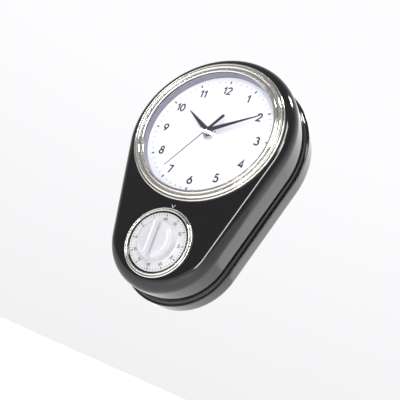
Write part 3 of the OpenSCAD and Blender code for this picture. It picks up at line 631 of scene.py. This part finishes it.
# ticks are (length, width); "ink" is the print's thickness and "turn" the disc's rest angle in degrees
dialPrint = {"hourAt": 62.0, "hourTick": (3.1, 1.6), "minuteTick": (2.3, 0.6), "numberAt": 52.0,
             "numberHeight": 9.8, "stroke": 1.75, "ink": 0.05}
discPrint = {"edge": 27.6, "longTick": (2.4, 0.85), "shortTick": (1.5, 0.4), "numberAt": 22.6,
             "numberHeight": 2.9, "stroke": 0.48, "ink": 0.04, "turn": -3}
pointerShape = {"above": 0.9, "rise": 3.0, "half": 1.9, "stroke": 0.6, "ink": 0.05}
marks = np.arange(60) * 6.0
fiveMarks = marks[::5]
oneMarks = np.delete(marks, np.arange(0, 60, 5))


def dialMarks():
    # a tick every 6 degrees, bold every 30, and upright numbers every 30
    d = dialPrint
    low, high = dial["front"], dial["front"] + d["ink"]
    hourTicks = tickMarks(fiveMarks, d["hourAt"], *d["hourTick"], low, high)
    minuteTicks = tickMarks(oneMarks, d["hourAt"], *d["minuteTick"], low, high)
    numbers = []
    for hour in range(1, 13):
        numbers += number(hour, d, clockwise(d["numberAt"], 30.0 * hour), 0.0, low, high)
    printed("dial_hour_ticks", [hourTicks], clockDown, "case", ink, "hand_black")
    printed("dial_minute_ticks", [minuteTicks], clockDown, "case", paleInk, "hand_black")
    printed("dial_numerals", numbers, clockDown, "case", ink, "hand_black")


def timerMarks():
    # the scale counts up anticlockwise, and every number stands with its foot to the middle
    d = discPrint
    low, high = timerDisc["front"], timerDisc["front"] + d["ink"]
    (longLength, _), (shortLength, _) = d["longTick"], d["shortTick"]
    ticks = [tickMarks(fiveMarks + d["turn"], d["edge"] - longLength / 2, *d["longTick"], low, high),
             tickMarks(oneMarks + d["turn"], d["edge"] - shortLength / 2, *d["shortTick"], low, high)]
    numbers = []
    for minutes in range(5, 65, 5):
        degrees = (60 - minutes) * 6.0 + d["turn"]
        numbers += number(minutes, d, clockwise(d["numberAt"], degrees), math.radians(-degrees), low, high)
    printed("timer_scale_ticks", ticks, timerDown, "timer_dial", ink, "hand_black")
    printed("timer_scale_numbers", numbers, timerDown, "timer_dial", ink, "hand_black")


def pointerMark():
    # small white V on the case, over the timer
    p = pointerShape
    tip = timerBezel["radius"] + p["above"]
    path = np.array([[-p["half"], tip + p["rise"]], [0.0, tip], [p["half"], tip + p["rise"]]])
    parts = [ribbon(path, p["stroke"], faceHeight, faceHeight + p["ink"])]
    printed("pointer_mark", parts, timerDown, "case", whiteInk, "knob_white")


dialMarks()
timerMarks()
pointerMark()
print("printing")

# hands: rest angle in degrees clockwise, then mm; a blade is a list of (distance along, width)
handShapes = {
    "hour_hand": {"turn": 305.3, "hub": 4.2, "low": 51.2, "thick": 0.4, "ridge": 0.3,
                  "blade": [(0, 6.2), (34.7, 1.1)]},
    "minute_hand": {"turn": 63.6, "hub": 3.9, "low": 52.3, "thick": 0.35, "ridge": 0.3,
                    "blade": [(0, 5.0), (54, 0.9)]},
    "second_hand": {"turn": 213, "hub": 2.3, "low": 53.3, "thick": 0.3, "ridge": 0.1,
                    "blade": [(-22.8, 0.5), (-22.5, 1.9), (-21.9, 2.9), (-21.0, 3.5), (-20.2, 3.6),
                              (-15, 3.3), (0, 2.6), (0.1, 1.1), (53.7, 0.75)]},
}
hubShape = {"below": 0.02, "above": 0.05, "edge": 0.15, "steps": 96}


def spun(points, degrees):
    # turned clockwise, seen from the front: (x cos a + y sin a, y cos a - x sin a)
    c, s = math.cos(math.radians(degrees)), math.sin(math.radians(degrees))
    x, y, h = np.moveaxis(points, -1, 0)
    return np.stack([x * c + y * s, y * c - x * s, h], -1)


def clockHand(name, body):
    # stations along the blade, five points across: edge, ridge, edge, and the flat underside
    s, b = handShapes[name], hubShape
    along, width = np.array(s["blade"], float).T
    low, top, crest = s["low"], s["low"] + s["thick"], s["low"] + s["thick"] + s["ridge"]
    across = np.stack([-width / 2, -width / 2, 0 * width, width / 2, width / 2], -1)
    rise = s["ridge"] * np.minimum(width / width.max(), 1)
    height = np.stack([0 * along + low, 0 * along + top, top + rise, 0 * along + top, 0 * along + low], -1)
    local = np.stack([across, np.broadcast_to(along[:, None], across.shape), height], -1)
    blade = addMesh(name + "_blade", toFrame(spun(local, s["turn"]), clockDown).reshape(-1, 3),
                    gridFaces(len(along), 5, False, True))
    foot, head = low - b["below"], crest + b["above"]
    hub, edge = s["hub"], b["edge"]
    profile = [[0, foot], [hub, foot], [hub, head - edge], [hub - edge, head], [0, head]]
    combine(blade, lathe(name + "_hub", profile, clockDown, b["steps"]), "UNION")
    settle(blade, meshRules["handCrease"])
    finishPiece(blade, body, materials["hand_black"], "hand_black", name)


clockHand("hour_hand", "hours")
clockHand("minute_hand", "minutes")
clockHand("second_hand", "seconds")
print("hands")

# timer knob; an "end" is (distance in from the rim where a detail is gone, length of its fading)
knobShape = {"puck": 10.5, "puckEdge": 6.5, "barEdge": 1.2, "draft": 0.6, "turn": 3, "inset": 2,
             "grip": 4.2, "flare": 0.5, "dish": 0.7, "dishIn": 0.6, "dishEnd": (3.5, 1.5),
             "groove": 1.3, "grooveOut": 0.6, "grooveWidth": 0.4, "grooveEnd": (1.5, 3),
             "topSteps": 96, "edgeSteps": 22, "sideSteps": 10, "steps": 540}


def fade(distance, run):
    # 0 at no distance, evenly up to 1 over the run
    return np.clip(distance / run, 0, 1)


def knobProfile(height, edge):
    # (r, h) from the middle of the top, over a rounded edge, down the drafted side and back under
    k, outer = knobShape, knob["radius"]
    mid = outer - k["draft"] - edge
    top = np.stack([np.linspace(0, mid, k["topSteps"]), np.full(k["topSteps"], height)], -1)
    turn = arc(mid, height - edge, edge, 90, 0, k["edgeSteps"])[1:]
    side = np.stack([np.linspace(mid + edge, outer, k["sideSteps"]),
                     np.linspace(height - edge, 0, k["sideSteps"])], -1)[1:]
    return np.concatenate([top, turn, side, [[outer - k["inset"], 0], [0, 0]]])


def timerKnobPiece():
    # round puck whose profile (r, h) passes over to a taller, squarer one inside the strip of the grip:
    # point = puck * (1 - m) + bar * m, with m a smooth step across the grip's flank
    k = knobShape
    low, high, outer = knob["back"], knob["front"], knob["radius"]
    puck, bar = knobProfile(k["puck"], k["puckEdge"]), knobProfile(high - low, k["barEdge"])
    a = np.linspace(0, 2 * np.pi, k["steps"], endpoint=False)[:, None]
    across = np.abs(puck[:, 0] * np.sin(a))
    m = fade(k["grip"] / 2 + k["flare"] / 2 - across, k["flare"])
    m = m * m * (3 - 2 * m)
    r = puck[:, 0] * (1 - m) + bar[:, 0] * m
    h = puck[:, 1] * (1 - m) + bar[:, 1] * m
    # a fine groove along the foot of the grip, on the top only: depth * e^-(distance / width)^2
    grooveEnd, grooveFade = k["grooveEnd"]
    near = np.exp(-((across - k["grip"] / 2 - k["grooveOut"]) / k["grooveWidth"]) ** 2)
    onTop = fade(outer - grooveEnd - np.abs(r), grooveFade) * (puck[:, 1] > k["puck"] - k["puckEdge"])
    # and the grip's top a little hollow: depth * (1 - (across / half width)^2)
    dishEnd, dishFade = k["dishEnd"]
    hollow = np.clip(1 - (across / (k["grip"] / 2 - k["dishIn"])) ** 2, 0, 1)
    h = h - k["groove"] * near * onTop - k["dish"] * hollow * fade(outer - dishEnd - r, dishFade)
    t = a + math.radians(90 + k["turn"])
    points = np.stack([r * np.cos(t), r * np.sin(t), h + low], -1)
    faces = gridFaces(k["steps"], len(puck))
    piece = addMesh("timer_knob_cap", toFrame(points, timerDown).reshape(-1, 3), faces)
    settle(piece, meshRules["knobCrease"])
    finishPiece(piece, "timer_dial", materials["knob_white"], "knob_white", "timer_knob")


timerKnobPiece()
print("knob")

# camera: angles in degrees, distances in metres, lens and sensor in mm
viewShape = {"aim": (0.01215, -0.03355, -0.12377), "distance": 0.5, "azimuth": 30.112, "elevation": -17.258,
             "roll": 22.477, "lens": 46.82, "sensor": 36}
# softboxes: place, width and height in metres, power in watts and what each points at
caseMiddle = (0, -0.04, -0.1)
lamps = {
    "overhead": {"place": (0.38, -0.27, 0.84), "size": (0.14, 0.14), "power": 7, "aim": caseMiddle},
    "frontTop": {"place": (0.1, -1.0, 0.45), "size": (0.25, 0.25), "power": 2.4, "aim": caseMiddle},
    "frontStrip": {"place": (0.27, -1.1, 0.0), "size": (0.16, 0.9), "power": 7, "aim": caseMiddle},
    # a small one that leaves a streak on the lens, just under the hands' hub
    "glint": {"place": (-0.484, -0.828, 0.354), "size": (0.045, 0.009), "power": 0.036,
              "aim": (0, -0.056, -0.058)},
}
# the room's light grows from dim to bright along an axis, and the backdrop from grey to white with height
roomShape = {"axis": (0.15, 0.88, -0.45), "axisFrom": -0.7, "axisTo": 0.5, "dim": 0.36, "bright": 2.0,
             "riseFrom": -0.05, "riseTo": 0.45, "backdropLow": 0.9, "backdropHigh": 1.0, "tint": "#fdfcfe",
             "floor": -0.62, "floorHalf": 6.0, "floorGlow": 0.45}


def lookFrom():
    # place = aim + distance * back; right and up are level first, then rolled about the line of sight
    v = viewShape
    azimuth, elevation, turn = (math.radians(v[key]) for key in ("azimuth", "elevation", "roll"))
    back = Vector((math.sin(azimuth) * math.cos(elevation), -math.cos(azimuth) * math.cos(elevation),
                   math.sin(elevation)))
    level = Vector((math.cos(azimuth), math.sin(azimuth), 0))
    right = level * math.cos(turn) + back.cross(level) * math.sin(turn)
    camera = bpy.data.objects.new("camera", bpy.data.cameras.new("camera"))
    scene.collection.objects.link(camera)
    axes = Matrix((right, back.cross(right), back)).transposed().to_4x4()
    camera.matrix_world = Matrix.Translation(Vector(v["aim"]) + v["distance"] * back) @ axes
    camera.data.lens = v["lens"]
    camera.data.sensor_width = v["sensor"]
    scene.camera = camera


def softbox(name, place, size, power, aim):
    # a rectangular lamp that faces its aim
    data = bpy.data.lights.new(name, "AREA")
    data.shape = "RECTANGLE"
    data.size, data.size_y = size
    data.energy = power
    lamp = bpy.data.objects.new(name, data)
    scene.collection.objects.link(lamp)
    lamp.location = place
    lamp.rotation_euler = (Vector(aim) - Vector(place)).to_track_quat("-Z", "Y").to_euler()


def room():
    # white behind and below, dim in front, so that the black face stays deep; the camera itself sees white
    s = roomShape
    world = bpy.data.worlds.new("studio")
    scene.world = world
    world.use_nodes = True
    tree = world.node_tree
    background = tree.nodes["Background"]
    place = addNode(tree, "ShaderNodeTexCoord").outputs["Generated"]
    axis = addNode(tree, "ShaderNodeVectorMath", {0: place, 1: s["axis"]}, operation="DOT_PRODUCT")
    light = addNode(tree, "ShaderNodeMapRange", {"Value": axis.outputs["Value"], "From Min": s["axisFrom"],
                                                 "From Max": s["axisTo"], "To Min": s["dim"],
                                                 "To Max": s["bright"]}, interpolation_type="SMOOTHSTEP")
    rise = addNode(tree, "ShaderNodeVectorMath", {0: place, 1: (0, 0, 1)}, operation="DOT_PRODUCT")
    backdrop = addNode(tree, "ShaderNodeMapRange", {"Value": rise.outputs["Value"], "From Min": s["riseFrom"],
                                                    "From Max": s["riseTo"], "To Min": s["backdropLow"],
                                                    "To Max": s["backdropHigh"]})
    path = addNode(tree, "ShaderNodeLightPath")
    # a plain mix takes its factor, A and B on sockets 0, 2 and 3
    seen = addNode(tree, "ShaderNodeMix", {0: path.outputs["Is Camera Ray"], 2: light.outputs["Result"],
                                           3: backdrop.outputs["Result"]})
    tree.links.new(seen.outputs[0], background.inputs["Strength"])
    background.inputs["Color"].default_value = linear(s["tint"])
    half, h = s["floorHalf"], s["floor"]
    corners = [(-half, -half, h), (half, -half, h), (half, half, h), (-half, half, h)]
    floor = addMesh("floor", corners, [[0, 1, 2, 3]])
    # paper sheet, matt and a little brighter than its light
    floor.data.materials.append(finish("paleFloor", "#f4f3f4", "#efeeef", (0.7, 0.8), 20.0,
                                       other={"Emission Color": linear("#f6f5f7"),
                                              "Emission Strength": s["floorGlow"]}))


lookFrom()
for lampName, lamp in lamps.items():
    softbox(lampName, **lamp)
room()
scene.view_settings.view_transform = "Standard"
print("camera and lights")
